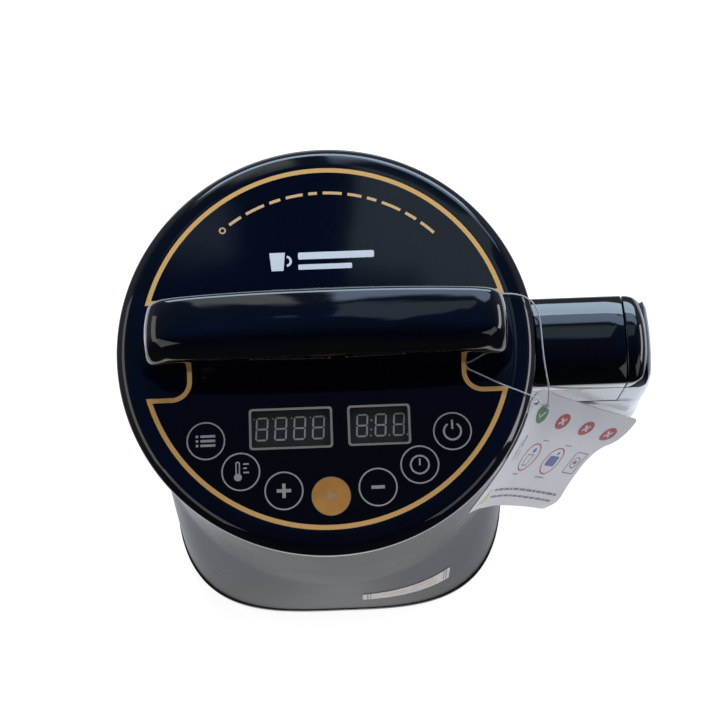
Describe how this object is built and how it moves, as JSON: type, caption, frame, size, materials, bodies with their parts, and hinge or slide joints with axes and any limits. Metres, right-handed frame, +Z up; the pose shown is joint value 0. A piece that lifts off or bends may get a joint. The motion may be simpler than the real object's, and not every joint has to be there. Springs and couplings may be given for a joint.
{
  "type": "heating and stirring jug machine",
  "caption": "Steel jug with a side handle and a lift-off black machine head that carries a motor-driven blade, a key panel with two displays and a carry handle.",
  "frame": {"origin": "centre of the footprint (jug and side handle, without the hang tag) on the table plane, under the feet", "axes": "+Z up, +X towards the jug's side handle, -Y towards the keys at the front"},
  "size_m": [0.2093, 0.1598, 0.2445],
  "materials": {
    "rubber_feet": "matte",
    "base_cover": "matte",
    "outer_shell": "brushed",
    "inner_pot": "satin",
    "heater_plate": "cast",
    "heating_element": "dull",
    "thermostat": "matte",
    "base_screws": "plated",
    "handle_outer_shell": "satin silver paint",
    "handle_inner_grip": "fine texture",
    "handle_top_cap": "gloss",
    "handle_brackets": "plain",
    "handle_screws": "plated",
    "coupler_socket": "matte",
    "inlet_socket": "matte",
    "inlet_pins": "nickel plated",
    "side_label": "satin",
    "head_cover": "gloss",
    "control_panel": "mirror gloss",
    "display_lenses": "smoked, clear",
    "display_4_digit": "matte",
    "display_3_digit": "matte",
    "key_function": "gloss",
    "key_temperature": "gloss",
    "key_plus": "gloss",
    "key_start": "gold paint",
    "key_minus": "gloss",
    "key_time": "gloss",
    "key_power": "gloss",
    "control_board": "solder mask",
    "key_switches": "matte",
    "carry_handle": "gloss",
    "carry_handle_liner": "semi gloss",
    "under_shell": "satin",
    "motor_carrier": "natural",
    "seal_ring": "silicone",
    "head_screws": "plated",
    "motor_can": "zinc plated",
    "motor_end_cap": "matte",
    "motor_magnets": "ferrite",
    "motor_bearings": "sintered",
    "armature": "laminated, wound",
    "motor_shaft": "ground",
    "drive_coupling": "natural",
    "blade_shaft": "ground",
    "blade": "polished",
    "blade_nut": "plated",
    "shaft_seal": "matte",
    "tube_bush": "sintered",
    "shaft_tube": "satin",
    "blade_guard": "polished",
    "temperature_probe": "polished",
    "level_electrode": "polished",
    "power_board": "solder mask",
    "board_components": "matte",
    "coupler_housing": "satin silver paint",
    "coupler_cover": "gloss",
    "coupler_pins": "nickel plated",
    "hang_tag": "coated card",
    "tag_string": "clear nylon"
  },
  "bodies": {
    "jug": {"rubber_feet": "rubber_feet", "base_cover": "base_cover", "outer_shell": "outer_shell", "inner_pot": "inner_pot", "heater_plate": "heater_plate", "heating_element": "heating_element", "thermostat": "thermostat", "base_screws": "base_screws", "handle_outer_shell": "handle_outer_shell", "handle_inner_grip": "handle_inner_grip", "handle_top_cap": "handle_top_cap", "handle_brackets": "handle_brackets", "handle_screws": "handle_screws", "coupler_socket": "coupler_socket", "inlet_socket": "inlet_socket", "inlet_pins": "inlet_pins", "side_label": "side_label"},
    "head": {"head_cover": "head_cover", "control_panel": "control_panel", "display_lenses": "display_lenses", "display_4_digit": "display_4_digit", "display_3_digit": "display_3_digit", "control_board": "control_board", "key_switches": "key_switches", "carry_handle": "carry_handle", "carry_handle_liner": "carry_handle_liner", "under_shell": "under_shell", "motor_carrier": "motor_carrier", "seal_ring": "seal_ring", "head_screws": "head_screws", "motor_can": "motor_can", "motor_end_cap": "motor_end_cap", "motor_magnets": "motor_magnets", "motor_bearings": "motor_bearings", "shaft_seal": "shaft_seal", "tube_bush": "tube_bush", "shaft_tube": "shaft_tube", "blade_guard": "blade_guard", "temperature_probe": "temperature_probe", "level_electrode": "level_electrode", "power_board": "power_board", "board_components": "board_components", "coupler_housing": "coupler_housing", "coupler_cover": "coupler_cover", "coupler_pins": "coupler_pins", "hang_tag": "hang_tag", "tag_string": "tag_string"},
    "drive": {"armature": "armature", "motor_shaft": "motor_shaft", "drive_coupling": "drive_coupling", "blade_shaft": "blade_shaft", "blade": "blade", "blade_nut": "blade_nut"},
    "key_function": {"key_function": "key_function"},
    "key_temperature": {"key_temperature": "key_temperature"},
    "key_plus": {"key_plus": "key_plus"},
    "key_start": {"key_start": "key_start"},
    "key_minus": {"key_minus": "key_minus"},
    "key_time": {"key_time": "key_time"},
    "key_power": {"key_power": "key_power"}
  },
  "joints": [
    {"name": "head_lift", "type": "slide", "parent": "jug", "child": "head", "axis": [0, 0, 1], "range_m": [0, 0.18]},
    {"name": "drive_spin", "type": "hinge", "parent": "head", "child": "drive", "pos_m": [-0.0245, 0, 0.05], "axis": [0, 0, 1], "continuous": true},
    {"name": "key_function_press", "type": "slide", "parent": "head", "child": "key_function", "axis": [0, 0, -1], "range_m": [0, 0.0005], "stiffness_N_per_m": 3000},
    {"name": "key_temperature_press", "type": "slide", "parent": "head", "child": "key_temperature", "axis": [0, 0, -1], "range_m": [0, 0.0005], "stiffness_N_per_m": 3000},
    {"name": "key_plus_press", "type": "slide", "parent": "head", "child": "key_plus", "axis": [0, 0, -1], "range_m": [0, 0.0005], "stiffness_N_per_m": 3000},
    {"name": "key_start_press", "type": "slide", "parent": "head", "child": "key_start", "axis": [0, 0, -1], "range_m": [0, 0.0005], "stiffness_N_per_m": 3000},
    {"name": "key_minus_press", "type": "slide", "parent": "head", "child": "key_minus", "axis": [0, 0, -1], "range_m": [0, 0.0005], "stiffness_N_per_m": 3000},
    {"name": "key_time_press", "type": "slide", "parent": "head", "child": "key_time", "axis": [0, 0, -1], "range_m": [0, 0.0005], "stiffness_N_per_m": 3000},
    {"name": "key_power_press", "type": "slide", "parent": "head", "child": "key_power", "axis": [0, 0, -1], "range_m": [0, 0.0005], "stiffness_N_per_m": 3000}
  ]
}
